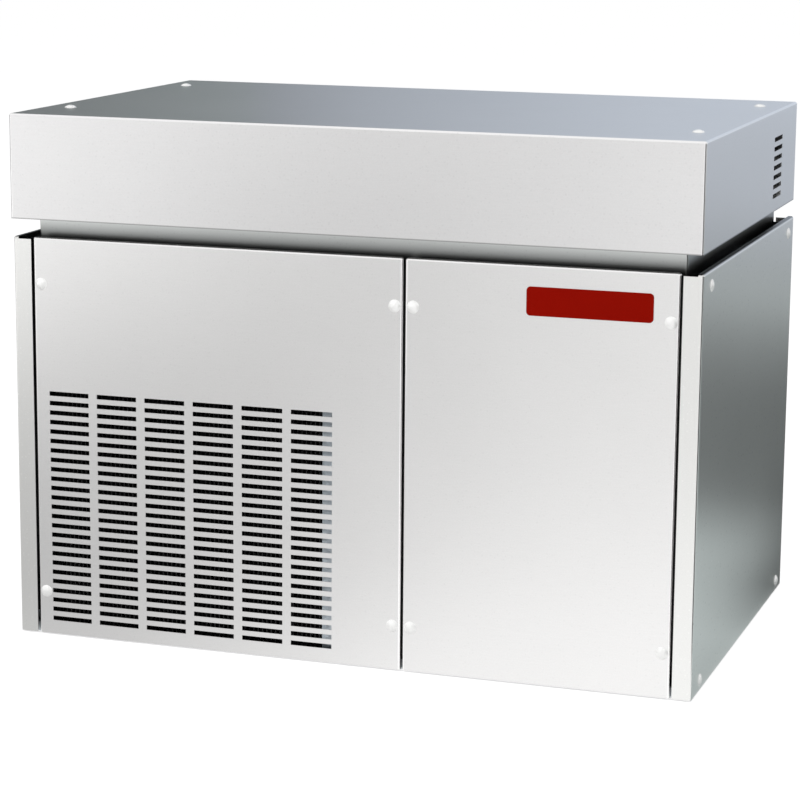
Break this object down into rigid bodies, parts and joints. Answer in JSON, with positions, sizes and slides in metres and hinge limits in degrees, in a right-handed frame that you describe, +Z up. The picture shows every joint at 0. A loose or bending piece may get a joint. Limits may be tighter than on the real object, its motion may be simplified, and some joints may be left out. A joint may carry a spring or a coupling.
{
  "type": "flake ice machine",
  "caption": "Modular flake ice machine for the top of a storage bin, in folded stainless sheet with a slotted front, a separate lid and a rotating freezing drum.",
  "frame": {"origin": "middle of the underside, below the centre of the overall box", "axes": "+Z up, front with the slotted panel at -Y, +X to the right as seen from the front"},
  "size_m": [0.906, 0.608, 0.686],
  "materials": {
    "stainless": "satin",
    "galvanised": "satin",
    "polished": "polished",
    "red_plate": "satin",
    "black_paint": "satin",
    "motor_paint": "satin",
    "copper": "satin",
    "brass": "satin",
    "white_plastic": "matte",
    "hose": "matte",
    "float_plastic": "gloss",
    "black_plastic": "matte",
    "rubber": "matte"
  },
  "bodies": {
    "cabinet": {"collar_frame": "stainless", "left_side_panel": "stainless", "right_side_panel": "stainless", "grille_panel": "stainless", "front_right_panel": "stainless", "back_panel": "stainless", "top_lid": "stainless", "scraper_bar": "stainless", "scraper_blade": "stainless", "base_tray": "galvanised", "mid_deck": "galvanised", "lid_posts": "galvanised", "condenser_left_plate": "galvanised", "condenser_right_plate": "galvanised", "fan_shroud": "galvanised", "fan_bracket": "galvanised", "motor_stand": "galvanised", "control_box": "galvanised", "control_cover": "galvanised", "panel_screws": "polished", "left_bearing": "polished", "right_bearing": "polished", "front_badge": "red_plate", "front_left_post": "black_paint", "front_right_post": "black_paint", "back_left_post": "black_paint", "back_right_post": "black_paint", "centre_post": "black_paint", "condenser_coil": "black_paint", "compressor": "black_paint", "compressor_plate": "black_paint", "liquid_receiver": "black_paint", "fan_motor": "motor_paint", "gearbox": "motor_paint", "gear_motor": "motor_paint", "filter_drier": "copper", "discharge_line": "copper", "condenser_line": "copper", "liquid_line": "copper", "valve_line": "copper", "suction_line": "copper", "expansion_valve": "brass", "rotary_joint": "brass", "water_inlet": "brass", "water_pan": "white_plastic", "drum_cover": "white_plastic", "ice_chute": "white_plastic", "float_tank": "white_plastic", "tank_lid": "white_plastic", "float_valve": "white_plastic", "contactor": "white_plastic", "feed_hose": "hose", "inlet_hose": "hose", "drain_pipe": "hose", "terminal_cover": "black_plastic", "cable_gland": "black_plastic", "compressor_grommets": "rubber"},
    "drum_body": {"drum": "stainless"},
    "fan": {"fan_rotor": "black_plastic"},
    "float": {"float_arm": "float_plastic"}
  },
  "joints": [
    {"name": "drum_spin", "type": "hinge", "parent": "cabinet", "child": "drum_body", "pos_m": [0.07, 0.035, 0.506], "axis": [1, 0, 0], "continuous": true},
    {"name": "fan_spin", "type": "hinge", "parent": "cabinet", "child": "fan", "pos_m": [-0.2245, -0.1605, 0.1705], "axis": [0, 1, 0], "continuous": true},
    {"name": "float_swing", "type": "hinge", "parent": "cabinet", "child": "float", "pos_m": [-0.355, 0.175, 0.458], "axis": [1, 0, 0], "range_deg": [-24, 0]}
  ]
}
